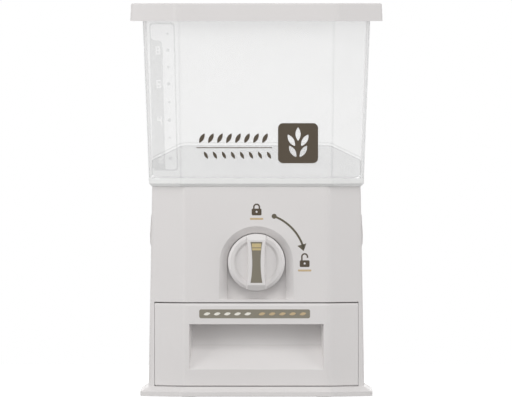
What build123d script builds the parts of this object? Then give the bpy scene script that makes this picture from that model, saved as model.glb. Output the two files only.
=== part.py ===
from build123d import *
from math import cos, radians, sin, sqrt, tan
import os

# Rice storage bin: a clear hopper on a base with a metering knob and a drawer.
# Millimetres. +Z is up, the front faces -Y, the origin is on the floor under the middle of the bin.

# Values that many pieces share
overrun = 2.0
wall = 2.6
fit_gap = 0.3
fold_rounding = 8.0
screw_head_radius = 3.2
screw_head_height = 2.2
screw_shank_radius = 1.5
screw_length = 11.0
screw_slot_width = 0.9
screw_slot_depth = 0.8
thread_gap = 0.05
boss_radius = 4.5
boss_bite = 0.6

# Plinth, standing on four rubber pads
foot_stand = 0.6
foot_radius = 9.0
foot_edge = 1.0
foot_inset_x = 50.8
foot_inset_y = 27.0
plinth_flange = 8.6
plinth_edge_height = 4.4
plinth_slope_height = 5.7
plinth_deck = 3.0
plinth_skirt = 2.4
plinth_rib = 2.0
plinth_rib_setback = 1.2
plinth_rib_x_share = 0.3725
plinth_rib_y_share = 0.4516
locating_rim_height = 4.0

# Base shell, drafted a little towards the top
base_height = 207.7
base_bottom_width = 224.4
base_bottom_depth = 292.8
base_bottom_bevel = 37.2
base_draft = 3.7
base_ledge_width = 3.8
base_ledge_thickness = 3.0
base_boss_height = 30.0
base_boss_front_inset = 51.4

# Knob recess in the front of the base: an arch with a bevelled border, a straight well and a flat sill
knob_drop = 78.5
knob_radius = 29.6
knob_gap = 0.9
arch_bevel_width = 7.8
arch_bevel_depth = 6.0
arch_well_depth = 3.0
arch_wall = 3.0
arch_drop = 38.4

# Knob: a dished disc with an hour-glass bar and an inlay
knob_thickness = 10.6
knob_rim_bevel = 2.8
knob_dish_radius = 21.0
knob_dish_slope = 2.4
knob_dish_depth = 1.5
bar_height = 9.0
bar_end_width = 22.0
bar_waist_width = 18.2
bar_draft = 0.9
bar_end_run = 6.0
bar_end_drop = 4.6
bar_edge_rounding = 0.7
inlay_length = 42.6
inlay_end_width = 12.4
inlay_waist_width = 8.6
inlay_depth = 1.6
inlay_gap = 0.1
knob_socket_depth = 10.0

# Shaft, bushes and metering drum
shaft_side = 8.4
journal_radius = 6.0
journal_gap = 0.05
bush_radius = 8.0
bush_flange_radius = 10.5
bush_flange = 1.5
drum_radius = 38.0
drum_gap = 0.7
drum_end_gap = 0.6
drum_wall = 2.5
drum_front_wall = 3.0
drum_cap = 3.0
drum_hub_radius = 12.0
drum_socket_depth = 20.0
drum_socket_wall = 3.0
drum_tail = 4.0
pocket_half_deg = 50.0
pocket_rounding = 3.0
inlet_half_deg = 20.0
outlet_from_deg = 120.0
outlet_to_deg = 200.0
outlet_margin = 14.0
housing_wall = 2.6
housing_end_wall = 3.0
housing_deck = 3.2
housing_lug_radius = 4.2
housing_lug_length = 14.0
housing_lug_bite = 1.2
housing_lug_start_deg = 45.0
lug_width = 11.0
lug_length = 13.0
lug_height = 24.0
lug_front_inset = 30.0
lug_rear_inset = 14.0
seal_thickness = 2.0
seal_border = 5.0

# Hopper: tapered tub with a floor that falls towards the front
hopper_height = 185.6
hopper_overhang = 3.05
hopper_flare = 7.35
hopper_bottom_bevel = 32.7
hopper_top_bevel = 38.0
hopper_wall = 2.5
hopper_foot_height = 3.2
hopper_foot_width = 7.0
hopper_foot_bevel = 3.0
hopper_rim_width = 3.5
hopper_rim_thickness = 2.5
floor_thickness = 2.5
floor_back_rise = 43.6
floor_back_deg = 25.0
floor_edge_rise = 10.3
floor_front_deg = 50.0
floor_corner_deg = 40.0
throat_height = 3.4

# Lid: cap with a skirt, a locating rib and a seal on the rim
lid_height = 18.5
lid_plate = 2.5
lid_wall = 2.4
lid_overhang = 12.3
lid_bottom_bevel = 46.5
lid_flare = 0.8
lid_edge_rounding = 1.6
lid_panel_inset = 16.0
lid_panel_depth = 0.8
lid_rib = 2.0
lid_rib_height = 9.0
lid_rib_gap = 0.7
lid_seal_width = 5.0
lid_seal_thickness = 2.2

# Drawer: front panel with a finger recess, and a tray behind it
drawer_side_reveal = 6.35
drawer_drum_gap = 1.4
drawer_bottom_gap = 0.5
drawer_top_gap = 1.2
drawer_side_gap = 0.3
drawer_edge = 0.9
drawer_top_edge_height = 2.4
drawer_low_edge_height = 1.0
drawer_boss_radius = 4.0
drawer_boss_reach = 4.6
drawer_boss_span_share = 0.4635
recess_side_margin = 36.0
recess_bottom_share = 0.2009
recess_crease_share = 0.4977
recess_top_share = 0.7483
recess_depth = 22.0
recess_side_draft = 2.5
recess_lip = 4.0
recess_undercut = 7.0
tray_side_inset = 8.85
tray_rear_gap = 40.8
tray_top_drop = 9.2
tray_bevel = 12.0
tray_wall = 2.0
tray_floor_rounding = 5.0
runner_height = 1.7
runner_width = 5.0
runner_inset = 14.0
guide_gap = 0.5
guide_thickness = 2.0
guide_height = 12.0
guide_end_inset = 16.0

# Side grips let into the base
grip_length = 96.0
grip_top_drop = 30.4
grip_crest_drop = 51.4
grip_heel_drop = 60.0
grip_toe_drop = 64.0
grip_bottom_drop = 78.4
grip_top_proud = 0.8
grip_crest_proud = 1.7
grip_heel_proud = 1.3
grip_gap = 0.2
grip_pocket_length = 84.0
grip_pocket_bottom_drop = 75.4
grip_pocket_top_drop = 54.4
grip_pocket_depth = 20.0
grip_wall = 2.0

# Levels and places worked out from the sizes above
plinth_edge_z = foot_stand + plinth_edge_height
plinth_top_z = plinth_edge_z + plinth_slope_height
plinth_hollow_z = plinth_top_z - plinth_deck
base_top_z = plinth_top_z + base_height
hopper_rim_z = base_top_z + hopper_height
lid_under_z = hopper_rim_z + fit_gap + lid_seal_thickness
lid_top_z = lid_under_z + lid_plate
lid_bottom_z = lid_top_z - lid_height
axis_z = base_top_z - knob_drop
housing_bore = drum_radius + drum_gap
housing_radius = housing_bore + housing_wall
drawer_low_z = plinth_top_z + drawer_bottom_gap
drawer_high_z = axis_z - housing_radius - drawer_drum_gap
drawer_opening_z = drawer_high_z + drawer_top_gap
drawer_height = drawer_high_z - drawer_low_z
recess_bottom_z = drawer_low_z + drawer_height * recess_bottom_share
recess_crease_z = drawer_low_z + drawer_height * recess_crease_share
recess_top_z = drawer_low_z + drawer_height * recess_top_share
tray_low_z = plinth_top_z + runner_height + fit_gap
tray_height = drawer_high_z - tray_top_drop - tray_low_z

# Outlines are width, depth and corner bevel; each is stepped out or in from the one below it
base_top_width = base_bottom_width - 2 * base_draft
base_top_depth = base_bottom_depth - 2 * base_draft
hopper_bottom_width = base_top_width + 2 * hopper_overhang
hopper_bottom_depth = base_top_depth + 2 * hopper_overhang
hopper_top_width = hopper_bottom_width + 2 * hopper_flare
hopper_top_depth = hopper_bottom_depth + 2 * hopper_flare
lid_bottom_width = hopper_top_width + 2 * lid_overhang
lid_bottom_depth = hopper_top_depth + 2 * lid_overhang
drawer_width = base_bottom_width - 2 * drawer_side_reveal
recess_width = drawer_width - 2 * recess_side_margin
tray_width = drawer_width - 2 * tray_side_inset
base_low = (base_bottom_width, base_bottom_depth, base_bottom_bevel)
base_high = (base_top_width, base_top_depth, base_bottom_bevel - base_draft)
hopper_low = (hopper_bottom_width, hopper_bottom_depth, hopper_bottom_bevel)
hopper_high = (hopper_top_width, hopper_top_depth, hopper_top_bevel)
lid_low = (lid_bottom_width, lid_bottom_depth, lid_bottom_bevel)

os.makedirs("parts", exist_ok=True)


def inset(size, distance):
    """Bevelled outline with every side moved in by the distance."""
    width, depth, bevel = size
    return (width - 2 * distance, depth - 2 * distance, bevel - (2 - sqrt(2)) * distance)


plinth_size = inset(base_low, -plinth_flange)
plinth_width, plinth_depth = plinth_size[:2]


def size_between(low_z, low_size, high_z, high_size, z):
    """Outline of a straight taper at a height."""
    taper_share = (z - low_z) / (high_z - low_z)
    return tuple(low + (high - low) * taper_share for low, high in zip(low_size, high_size))


def base_size(z):
    return size_between(plinth_top_z, base_low, base_top_z, base_high, z)


def hopper_size(z):
    return size_between(base_top_z, hopper_low, hopper_rim_z, hopper_high, z)


def bevelled_outline(size):
    """Rectangle with bevelled corners and softened folds."""
    width, depth, bevel = size
    with BuildSketch() as outline:
        Rectangle(width, depth)
        chamfer(outline.vertices(), length=bevel)
        fillet(outline.vertices(), radius=fold_rounding)
    return outline.sketch


def tapered_block(low_z, low_size, high_z, high_size):
    """Solid between two bevelled outlines."""
    with BuildPart() as block:
        with BuildSketch(Plane.XY.offset(low_z)):
            add(bevelled_outline(low_size))
        with BuildSketch(Plane.XY.offset(high_z)):
            add(bevelled_outline(high_size))
        loft(ruled=True)
    return block.part


def base_block(low_z, high_z, distance):
    """Slice of the base's outer form, moved in by the distance."""
    return tapered_block(low_z, inset(base_size(low_z), distance), high_z, inset(base_size(high_z), distance))


def hopper_block(low_z, high_z, distance):
    """Slice of the hopper's outer form, moved in by the distance."""
    low_size = inset(hopper_size(low_z), distance)
    return tapered_block(low_z, low_size, high_z, inset(hopper_size(high_z), distance))


def front_y(z):
    """Front face of the base at a height."""
    return -base_size(z)[1] / 2


def facing_front(y):
    """Plane across the knob axis: X to the right, Z up, drawn towards the front."""
    return Plane(origin=(0, y, axis_z), x_dir=(1, 0, 0), z_dir=(0, -1, 0))


def box_between(low, high, mode=Mode.ADD):
    """Box from its lowest to its highest corner."""
    with Locations(low):
        Box(*(b - a for a, b in zip(low, high)), align=(Align.MIN, Align.MIN, Align.MIN), mode=mode)


def axial_cylinder(radius, front, rear, mode=Mode.ADD):
    """Cylinder on the knob axis between two places along Y."""
    with Locations((0, front, axis_z)):
        Cylinder(
            radius,
            rear - front,
            rotation=(-90, 0, 0),
            align=(Align.CENTER, Align.CENTER, Align.MIN),
            mode=mode,
        )


def axial_square(side, front, rear, mode=Mode.ADD):
    """Square bar on the knob axis between two places along Y."""
    box_between((-side / 2, front, axis_z - side / 2), (side / 2, rear, axis_z + side / 2), mode)


def clock_point(radius, degrees):
    """Point round the knob axis, turned clockwise from the top as seen from the front."""
    return (radius * sin(radians(degrees)), radius * cos(radians(degrees)))


def screw():
    """Pan-head screw with its head below and its shank pointing up from the seat."""
    with BuildPart() as one:
        Cylinder(screw_head_radius, screw_head_height, align=(Align.CENTER, Align.CENTER, Align.MAX))
        chamfer(one.edges().group_by(Axis.Z)[0], length=screw_slot_depth)
        with Locations((0, 0, -screw_head_height)):
            for turn in (0, 90):
                Box(
                    2 * screw_shank_radius,
                    screw_slot_width,
                    2 * screw_slot_depth,
                    rotation=(0, 0, turn),
                    mode=Mode.SUBTRACT,
                )
        Cylinder(screw_shank_radius, screw_length, align=(Align.CENTER, Align.CENTER, Align.MIN))
    return one.part


def finish(piece, name):
    """Label a finished piece and write its file."""
    piece.part.label = name
    export_step(piece.part, f"parts/{name}.step")


# Base plate: the plinth with its sloping flange, ribbed underneath, with runners for the drawer
side_boss_x = base_bottom_width / 2 - wall - boss_radius + boss_bite
corner_in = base_bottom_bevel / 2 + (wall + boss_radius - boss_bite) / sqrt(2)
rear_boss_x = base_bottom_width / 2 - corner_in
rear_boss_y = base_bottom_depth / 2 - corner_in
base_boss_front_y = base_boss_front_inset - base_bottom_depth / 2
base_boss_places = [
    (side, y)
    for x, y in ((side_boss_x, base_boss_front_y), (rear_boss_x, rear_boss_y))
    for side in (-x, x)
]
opening_half = drawer_width / 2 + drawer_side_gap
opening_end_y = base_bottom_bevel - base_bottom_depth / 2 + overrun
tray_front_y = front_y(recess_crease_z) + recess_depth + wall
tray_rear_y = base_bottom_depth / 2 - wall - tray_rear_gap
tray_length = tray_rear_y - tray_front_y
guide_x = tray_width / 2 + guide_gap

with BuildPart() as plinth_hollow:
    hollow_high = size_between(plinth_edge_z, plinth_size, plinth_top_z, base_low, plinth_hollow_z)
    hollow_low = inset(plinth_size, plinth_skirt)
    hollow_high = inset(hollow_high, 2 * plinth_skirt)
    add(tapered_block(foot_stand - overrun, hollow_low, plinth_hollow_z, hollow_high))
    rib_x = plinth_width * plinth_rib_x_share / 2
    rib_y = plinth_depth * plinth_rib_y_share / 2
    for x in (-rib_x, rib_x):
        low = (x - plinth_rib / 2, -plinth_depth / 2, foot_stand + plinth_rib_setback)
        box_between(low, (x + plinth_rib / 2, plinth_depth / 2, plinth_top_z), Mode.SUBTRACT)
    for y in (-rib_y, 0, rib_y):
        low = (-plinth_width / 2, y - plinth_rib / 2, foot_stand + plinth_rib_setback)
        box_between(low, (plinth_width / 2, y + plinth_rib / 2, plinth_top_z), Mode.SUBTRACT)

with BuildPart() as base_plate:
    add(tapered_block(foot_stand, plinth_size, plinth_edge_z, plinth_size))
    add(tapered_block(plinth_edge_z, plinth_size, plinth_top_z, base_low))
    add(plinth_hollow.part, mode=Mode.SUBTRACT)
    rim_z = plinth_top_z + locating_rim_height
    add(base_block(plinth_top_z, rim_z, wall + fit_gap))
    add(base_block(plinth_top_z, rim_z + overrun, 2 * wall + fit_gap), mode=Mode.SUBTRACT)
    box_between(
        (-opening_half, -plinth_depth / 2, plinth_top_z),
        (opening_half, opening_end_y, rim_z + overrun),
        Mode.SUBTRACT,
    )
    for x, y in base_boss_places:
        with Locations((x, y, plinth_top_z)):
            Cylinder(
                boss_radius + fit_gap,
                base_boss_height,
                align=(Align.CENTER, Align.CENTER, Align.MIN),
                mode=Mode.SUBTRACT,
            )
    with Locations(*base_boss_places):
        Cylinder(screw_shank_radius + fit_gap, 2 * plinth_top_z, mode=Mode.SUBTRACT)
    runner_x = tray_width / 2 - runner_inset
    for side in (-1, 1):
        with Locations((side * runner_x, (tray_front_y + tray_rear_y) / 2, plinth_top_z + runner_height / 2)):
            Box(runner_width, tray_length - 2 * guide_end_inset, runner_height)
        with Locations(
            (
                side * (guide_x + guide_thickness / 2),
                (base_boss_front_y + boss_radius + guide_end_inset + tray_rear_y) / 2,
                plinth_top_z + guide_height / 2,
            )
        ):
            Box(
                guide_thickness,
                tray_rear_y - base_boss_front_y - boss_radius - guide_end_inset,
                guide_height,
            )

finish(base_plate, "base_plate")

with BuildPart() as rubber_feet:
    with GridLocations(plinth_width - 2 * foot_inset_x, plinth_depth - 2 * foot_inset_y, 2, 2):
        Cylinder(foot_radius, plinth_hollow_z, align=(Align.CENTER, Align.CENTER, Align.MIN))
    chamfer(rubber_feet.edges().group_by(Axis.Z)[0], length=foot_edge)

finish(rubber_feet, "rubber_feet")

with BuildPart() as base_screws:
    with Locations(*[(x, y, plinth_hollow_z) for x, y in base_boss_places]):
        add(screw())

finish(base_screws, "base_screws")


# Base shell: drafted walls, hopper ledge, knob arch, drawer opening, screw bosses and housing lugs
arch_radius = knob_radius + knob_gap
face_y = front_y(axis_z)
arch_ledge_y = face_y + arch_bevel_depth
arch_floor_y = arch_ledge_y + arch_well_depth
arch_back_y = arch_floor_y + arch_wall
deck_top_z = axis_z + drum_radius + drum_gap + housing_wall
deck_low_z = deck_top_z - housing_deck
deck_half_width = base_size(deck_top_z)[0] / 2 - wall
throat_z = deck_top_z + seal_thickness + fit_gap
throat_mouth_z = throat_z + throat_height

# The hopper's back floor fixes where its throat ends, and so how long the drum is
floor_back_z = base_top_z + floor_back_rise
floor_edge_z = base_top_z + floor_edge_rise
inner_back_y = hopper_size(floor_back_z)[1] / 2 - hopper_wall
inner_edge = inset(hopper_size(floor_edge_z), hopper_wall)
throat_rear_y = inner_back_y - (floor_back_z - throat_mouth_z) / tan(radians(floor_back_deg))
throat_front_y = (floor_edge_z - throat_mouth_z) / tan(radians(floor_front_deg)) - inner_edge[1] / 2
throat_half = drum_radius * sin(radians(inlet_half_deg))
drum_front_y = arch_back_y + housing_end_wall + drum_end_gap
drum_rear_y = throat_rear_y + drum_tail
cap_rear_y = drum_rear_y + drum_cap
housing_rear_y = cap_rear_y + drum_end_gap
cover_rear_y = housing_rear_y + housing_end_wall
lug_places = [
    (side * (deck_half_width - lug_length / 2), y)
    for y in (drum_front_y + lug_front_inset, housing_rear_y - lug_rear_inset)
    for side in (-1, 1)
]


def arch_outline(radius):
    """Arch round the knob axis, with a level sill."""
    with BuildSketch() as outline:
        with BuildLine():
            ThreePointArc((-radius, 0), (0, radius), (radius, 0))
            Polyline((radius, 0), (radius, -arch_drop), (-radius, -arch_drop), (-radius, 0))
        make_face()
    return outline.sketch


def arch_recess():
    """Cut for the knob recess: a straight well, and a bevelled border run out past the front face."""
    border_share = arch_bevel_width / arch_bevel_depth
    with BuildPart() as cut:
        with BuildSketch(facing_front(arch_ledge_y)):
            add(arch_outline(arch_radius))
        with BuildSketch(facing_front(face_y - overrun)):
            add(arch_outline(arch_radius + (arch_bevel_depth + overrun) * border_share))
        loft(ruled=True)
        with BuildSketch(facing_front(arch_floor_y)):
            add(arch_outline(arch_radius))
        extrude(amount=arch_well_depth)
    return cut.part


def arch_backing():
    """Thick wall behind the knob recess, kept inside the base's outer form."""
    with BuildPart() as backing:
        with BuildSketch(facing_front(arch_back_y)):
            add(arch_outline(arch_radius + arch_bevel_width + wall))
            with Locations((0, -arch_drop - wall / 2)):
                Rectangle(2 * (arch_radius + arch_bevel_width + wall), wall)
        extrude(amount=arch_back_y - face_y + overrun)
        add(base_block(drawer_opening_z, base_top_z, 0), mode=Mode.INTERSECT)
    return backing.part


def grip_hole(side):
    """Hole in a side wall for a grip."""
    half = grip_length / 2 + grip_gap
    low_z = base_top_z - grip_bottom_drop - grip_gap
    high_z = base_top_z - grip_top_drop + grip_gap
    near = base_top_width / 2 - 2 * wall
    with BuildPart() as hole:
        low_x, high_x = sorted((side * near, side * base_bottom_width / 2 + side * overrun))
        box_between((low_x, -half, low_z), (high_x, half, high_z))
    return hole.part


with BuildPart() as base_shell:
    add(base_block(plinth_top_z, base_top_z, 0))
    ledge_z = base_top_z - base_ledge_thickness
    add(base_block(plinth_top_z - overrun, ledge_z, wall), mode=Mode.SUBTRACT)
    add(base_block(ledge_z - overrun, base_top_z + overrun, base_ledge_width), mode=Mode.SUBTRACT)
    add(arch_backing())
    add(arch_recess(), mode=Mode.SUBTRACT)
    axial_cylinder(bush_radius + journal_gap, face_y, arch_back_y + overrun, Mode.SUBTRACT)
    box_between(
        (-opening_half, -plinth_depth / 2, plinth_top_z - overrun),
        (opening_half, opening_end_y, drawer_opening_z),
        Mode.SUBTRACT,
    )
    with Locations(*[(x, y, plinth_top_z) for x, y in base_boss_places]):
        Cylinder(boss_radius, base_boss_height, align=(Align.CENTER, Align.CENTER, Align.MIN))
    with Locations(*[(x, y, plinth_top_z - overrun) for x, y in base_boss_places]):
        Cylinder(
            screw_shank_radius + thread_gap,
            screw_length + overrun,
            align=(Align.CENTER, Align.CENTER, Align.MIN),
            mode=Mode.SUBTRACT,
        )
    with Locations(*[(x, y, deck_top_z + lug_height / 2) for x, y in lug_places]):
        Box(lug_length + wall, lug_width, lug_height)
    with Locations(*[(x, y, deck_top_z - overrun) for x, y in lug_places]):
        Cylinder(
            screw_shank_radius + thread_gap,
            screw_length + overrun,
            align=(Align.CENTER, Align.CENTER, Align.MIN),
            mode=Mode.SUBTRACT,
        )
    for side in (-1, 1):
        add(grip_hole(side), mode=Mode.SUBTRACT)

finish(base_shell, "base_shell")


# Side grips: a low wedge outside, with a finger pocket under its crest
def make_grip(side):
    """Grip for the right side, or mirrored for the left."""
    drops = (grip_top_drop, grip_crest_drop, grip_heel_drop, grip_toe_drop, grip_bottom_drop)
    levels = [base_top_z - drop for drop in drops]
    wall_x = [base_size(z)[0] / 2 for z in levels]
    proud = (grip_top_proud, grip_crest_proud, grip_heel_proud, 0, 0)
    outer = [x + step for x, step in zip(wall_x, proud)]
    pocket_low_z = base_top_z - grip_pocket_bottom_drop
    pocket_high_z = base_top_z - grip_pocket_top_drop
    pocket_x = wall_x[1] - grip_pocket_depth
    half = grip_pocket_length / 2
    with BuildPart() as grip:
        with BuildSketch(Plane.XZ):
            with BuildLine():
                Polyline(
                    *zip(outer, levels),
                    (wall_x[-1] - wall, levels[-1]),
                    (wall_x[0] - wall, levels[0]),
                    close=True,
                )
            make_face()
        extrude(amount=grip_length / 2, both=True)
        box_between(
            (pocket_x - grip_wall, -half - grip_wall, pocket_low_z - grip_wall),
            (wall_x[0] - wall / 2, half + grip_wall, pocket_high_z + grip_wall),
        )
        box_between(
            (pocket_x, -half, pocket_low_z),
            (outer[1] + overrun, half, pocket_high_z),
            Mode.SUBTRACT,
        )
        if side < 0:
            mirror(about=Plane.YZ, mode=Mode.REPLACE)
    return grip


left_grip = make_grip(-1)
finish(left_grip, "left_grip")
right_grip = make_grip(1)
finish(right_grip, "right_grip")


# Drum housing: a tube with inlet and outlet, hung from a deck that is screwed under the base's lugs
with BuildPart() as drum_housing:
    add(base_block(deck_low_z, deck_top_z, wall + fit_gap))
    box_between(
        (-base_bottom_width / 2, arch_back_y, deck_low_z),
        (base_bottom_width / 2, housing_rear_y, deck_top_z),
        Mode.INTERSECT,
    )
    axial_cylinder(housing_radius, arch_back_y, housing_rear_y)
    with BuildSketch(facing_front(housing_rear_y)):
        with PolarLocations(housing_radius + housing_lug_bite, 4, start_angle=housing_lug_start_deg):
            Circle(housing_lug_radius)
    extrude(amount=housing_lug_length)
    axial_cylinder(housing_bore, arch_back_y + housing_end_wall, housing_rear_y + overrun, Mode.SUBTRACT)
    axial_cylinder(bush_radius + journal_gap, arch_back_y - overrun, drum_front_y, Mode.SUBTRACT)
    box_between(
        (-throat_half, throat_front_y, axis_z),
        (throat_half, throat_rear_y, deck_top_z + overrun),
        Mode.SUBTRACT,
    )
    with BuildSketch(facing_front(drum_rear_y - outlet_margin)):
        reach = 2 * housing_radius
        middle_deg = (outlet_from_deg + outlet_to_deg) / 2
        with BuildLine():
            Polyline(
                (0, 0),
                clock_point(reach, outlet_from_deg),
                clock_point(reach, middle_deg),
                clock_point(reach, outlet_to_deg),
                close=True,
            )
        make_face()
    extrude(amount=drum_rear_y - outlet_margin - drum_front_y - drum_front_wall, mode=Mode.SUBTRACT)
    with BuildSketch(facing_front(housing_rear_y)):
        with PolarLocations(housing_radius + housing_lug_bite, 4, start_angle=housing_lug_start_deg):
            Circle(screw_shank_radius + thread_gap)
    extrude(amount=screw_length, mode=Mode.SUBTRACT)
    with Locations(*lug_places):
        Cylinder(
            screw_shank_radius + fit_gap,
            2 * deck_top_z,
            align=(Align.CENTER, Align.CENTER, Align.MIN),
            mode=Mode.SUBTRACT,
        )

finish(drum_housing, "drum_housing")

with BuildPart() as housing_screws:
    with Locations(*[(x, y, deck_low_z) for x, y in lug_places]):
        add(screw())

finish(housing_screws, "housing_screws")

with BuildPart() as end_cover:
    with BuildSketch(facing_front(cover_rear_y)):
        Circle(housing_radius)
        with PolarLocations(housing_radius + housing_lug_bite, 4, start_angle=housing_lug_start_deg):
            Circle(housing_lug_radius)
        Circle(bush_radius + journal_gap, mode=Mode.SUBTRACT)
        with PolarLocations(housing_radius + housing_lug_bite, 4, start_angle=housing_lug_start_deg):
            Circle(screw_shank_radius + fit_gap, mode=Mode.SUBTRACT)
    extrude(amount=housing_end_wall)

finish(end_cover, "end_cover")

with BuildPart() as end_cover_screws:
    with Locations(facing_front(cover_rear_y)):
        with PolarLocations(housing_radius + housing_lug_bite, 4, start_angle=housing_lug_start_deg):
            add(screw())

finish(end_cover_screws, "end_cover_screws")

with BuildPart() as inlet_seal:
    with BuildSketch(Plane.XY.offset(deck_top_z)):
        with Locations((0, (throat_front_y + throat_rear_y) / 2)):
            inlet_length = throat_rear_y - throat_front_y
            Rectangle(2 * (throat_half + seal_border), inlet_length + 2 * seal_border)
            Rectangle(2 * throat_half, inlet_length, mode=Mode.SUBTRACT)
    extrude(amount=seal_thickness)

finish(inlet_seal, "inlet_seal")

with BuildPart() as front_bush:
    axial_cylinder(bush_flange_radius, arch_floor_y - bush_flange, arch_floor_y)
    axial_cylinder(bush_radius, arch_floor_y, arch_back_y + housing_end_wall)
    axial_cylinder(journal_radius + journal_gap, face_y, drum_front_y, Mode.SUBTRACT)

finish(front_bush, "front_bush")

with BuildPart() as rear_bush:
    axial_cylinder(bush_radius, housing_rear_y, cover_rear_y)
    axial_cylinder(bush_flange_radius, cover_rear_y, cover_rear_y + bush_flange)
    axial_cylinder(
        journal_radius + journal_gap, cap_rear_y, cover_rear_y + bush_flange + overrun, Mode.SUBTRACT
    )

finish(rear_bush, "rear_bush")


# Metering drum: hollow, with one pocket that is filled from above and emptied to the side
def pocket_outline(thickness):
    """Pocket wedge over the hub, grown by the thickness of its walls."""
    reach = 2 * drum_radius
    apex = -thickness / sin(radians(pocket_half_deg))
    edge_x, edge_y = clock_point(reach, pocket_half_deg)
    with BuildSketch() as pocket:
        with BuildLine():
            Polyline((0, apex), (-edge_x, edge_y + apex), (0, reach), (edge_x, edge_y + apex), close=True)
        make_face()
        Circle(drum_hub_radius - thickness, mode=Mode.SUBTRACT)
        fillet(pocket.vertices().sort_by_distance((0, 0))[0:2], radius=pocket_rounding)
    return pocket.sketch


with BuildPart() as metering_drum:
    pocket_length = drum_rear_y + overrun - drum_front_y - drum_front_wall
    axial_cylinder(drum_radius, drum_front_y, drum_rear_y)
    with BuildSketch(facing_front(drum_rear_y + overrun)):
        add(pocket_outline(0))
    extrude(amount=pocket_length, mode=Mode.SUBTRACT)
    with BuildSketch(facing_front(drum_rear_y + overrun)):
        Circle(drum_radius - drum_wall)
        add(pocket_outline(drum_wall), mode=Mode.SUBTRACT)
    extrude(amount=pocket_length, mode=Mode.SUBTRACT)
    socket_radius = shaft_side / sqrt(2) + drum_socket_wall
    socket_rear_y = drum_front_y + drum_socket_depth
    axial_cylinder(socket_radius, drum_front_y + drum_front_wall / 2, socket_rear_y)
    axial_square(
        shaft_side + 2 * journal_gap,
        drum_front_y - overrun,
        socket_rear_y + overrun,
        Mode.SUBTRACT,
    )

finish(metering_drum, "metering_drum")

journal_rear_y = cover_rear_y + bush_flange
with BuildPart() as drum_end_cap:
    axial_cylinder(drum_radius, drum_rear_y, cap_rear_y)
    axial_cylinder(journal_radius, cap_rear_y, journal_rear_y)
    chamfer(drum_end_cap.edges().sort_by(Axis.Y)[-1], length=bush_flange / 2)

finish(drum_end_cap, "drum_end_cap")


# Knob: a revolved, dished disc and an hour-glass bar with sloping ends
knob_back_y = arch_floor_y - bush_flange - fit_gap
knob_ring_y = knob_back_y - knob_thickness
knob_dish_y = knob_ring_y + knob_dish_depth
bar_top_y = knob_ring_y - bar_height
shaft_front_y = knob_back_y - knob_socket_depth
shaft_rear_y = drum_front_y + drum_socket_depth - fit_gap
screw_seat_y = shaft_front_y - screw_head_height


def hourglass(length, end_width, waist_width):
    """Bar outline that is drawn in at its waist."""
    end, half, waist = end_width / 2, length / 2, waist_width / 2
    with BuildSketch() as outline:
        with BuildLine():
            ThreePointArc((end, half), (waist, 0), (end, -half))
            Line((end, -half), (-end, -half))
            ThreePointArc((-end, -half), (-waist, 0), (-end, half))
            Line((-end, half), (end, half))
        make_face()
    return outline.sketch


def knob_bar():
    """Grip bar, drafted towards its top, with both ends sloping and following the disc."""
    reach = 2 * knob_radius
    with BuildPart() as bar:
        with BuildSketch(facing_front(knob_dish_y)):
            add(hourglass(reach, bar_end_width, bar_waist_width))
        with BuildSketch(facing_front(bar_top_y)):
            add(hourglass(reach, bar_end_width - 2 * bar_draft, bar_waist_width - 2 * bar_draft))
        loft(ruled=True)
        axial_cylinder(knob_radius, bar_top_y - overrun, knob_back_y, Mode.INTERSECT)
        shoulder_y = bar_top_y + bar_end_drop
        flat_half = knob_radius - bar_end_run
        with BuildSketch(Plane.YZ):
            with BuildLine():
                Polyline(
                    (bar_top_y, axis_z - flat_half),
                    (bar_top_y, axis_z + flat_half),
                    (shoulder_y, axis_z + knob_radius),
                    (knob_back_y, axis_z + knob_radius),
                    (knob_back_y, axis_z - knob_radius),
                    (shoulder_y, axis_z - knob_radius),
                    close=True,
                )
            make_face()
        extrude(amount=reach, both=True, mode=Mode.INTERSECT)
        fillet(bar.edges().filter_by(lambda edge: edge.center().Y < shoulder_y), radius=bar_edge_rounding)
    return bar.part


with BuildPart() as knob:
    with BuildSketch(Plane.YZ):
        with BuildLine():
            Polyline(
                (knob_back_y, axis_z),
                (knob_back_y, axis_z + knob_radius),
                (knob_ring_y + knob_rim_bevel, axis_z + knob_radius),
                (knob_ring_y, axis_z + knob_radius - knob_rim_bevel),
                (knob_ring_y, axis_z + knob_dish_radius + knob_dish_slope),
                (knob_dish_y, axis_z + knob_dish_radius),
                (knob_dish_y, axis_z),
                close=True,
            )
        make_face()
    revolve(axis=Axis((0, 0, axis_z), (0, 1, 0)))
    add(knob_bar())
    with BuildSketch(facing_front(bar_top_y + inlay_depth)):
        add(hourglass(inlay_length, inlay_end_width, inlay_waist_width))
    extrude(amount=inlay_depth + overrun, mode=Mode.SUBTRACT)
    axial_square(shaft_side + 2 * journal_gap, shaft_front_y, knob_back_y + overrun, Mode.SUBTRACT)
    axial_cylinder(screw_shank_radius + fit_gap, bar_top_y, shaft_front_y + overrun, Mode.SUBTRACT)
    axial_cylinder(screw_head_radius + fit_gap, bar_top_y, screw_seat_y, Mode.SUBTRACT)

finish(knob, "knob")

with BuildPart() as knob_inlay:
    with BuildSketch(facing_front(bar_top_y + inlay_depth)):
        inlay_sizes = (inlay_length, inlay_end_width, inlay_waist_width)
        add(hourglass(*(size - 2 * inlay_gap for size in inlay_sizes)))
    extrude(amount=inlay_depth - inlay_gap)

finish(knob_inlay, "knob_inlay")

with BuildPart() as knob_screw:
    with Locations(Plane(origin=(0, screw_seat_y, axis_z), x_dir=(1, 0, 0), z_dir=(0, 1, 0))):
        add(screw())

finish(knob_screw, "knob_screw")

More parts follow.
